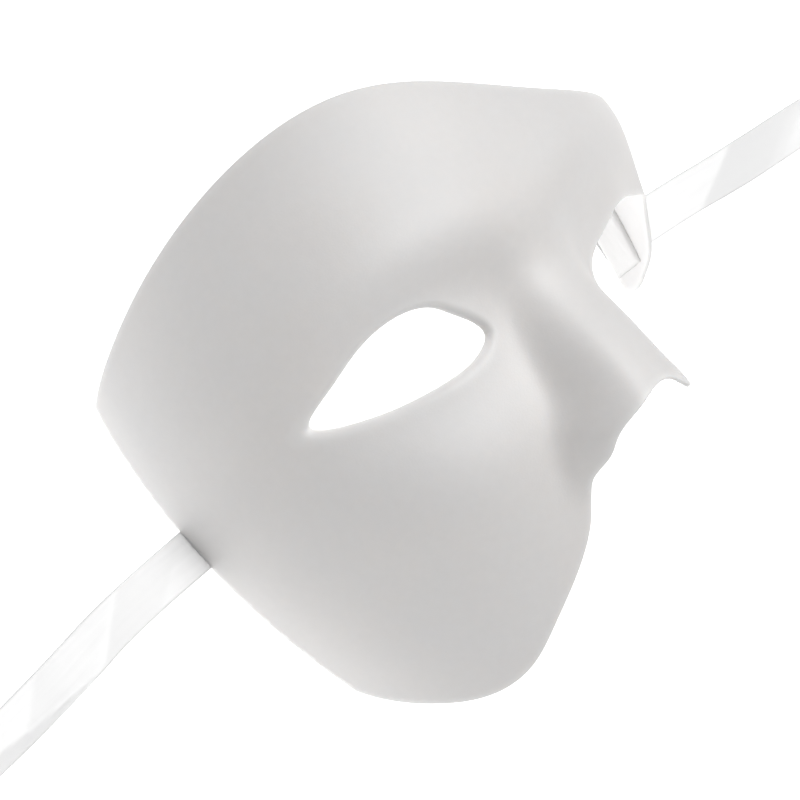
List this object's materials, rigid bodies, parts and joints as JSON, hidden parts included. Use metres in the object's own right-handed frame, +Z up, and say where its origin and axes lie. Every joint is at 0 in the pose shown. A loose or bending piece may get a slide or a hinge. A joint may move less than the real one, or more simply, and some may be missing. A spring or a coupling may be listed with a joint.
{
  "type": "half-face masquerade mask with satin tie ribbons",
  "caption": "Moulded white half-face mask with one almond eye opening, an open arch round the other eye and flat satin ribbons glued inside its temples for tying it on.",
  "frame": {"origin": "on the table under the middle of the mask's box, the ribbons' free lengths left out", "axes": "+Z up out of the table, the way the worn mask faces; +Y towards the forehead; +X towards the wearer's left temple. Rests face up on the back rims of its temples at z = 0"},
  "size_m": [0.4408, 0.1601, 0.0881],
  "materials": {
    "moulded_shell": "matt white moulded shell with a faint grain",
    "satin_ribbon": "white satin weave, soft sheen along its width",
    "glue": "dried hot glue, cloudy and slightly yellow",
    "patch_fabric": "plain woven cotton tape"
  },
  "bodies": {
    "root": {"mask_shell": "moulded_shell", "right_glue_pad": "glue", "right_ribbon_tab": "satin_ribbon", "right_patch": "patch_fabric", "right_ribbon_tail": "satin_ribbon", "right_ribbon_roll": "satin_ribbon", "left_glue_pad": "glue", "left_ribbon_tab": "satin_ribbon", "left_patch": "patch_fabric", "left_ribbon_tail": "satin_ribbon", "left_ribbon_roll": "satin_ribbon"}
  },
  "joints": []
}
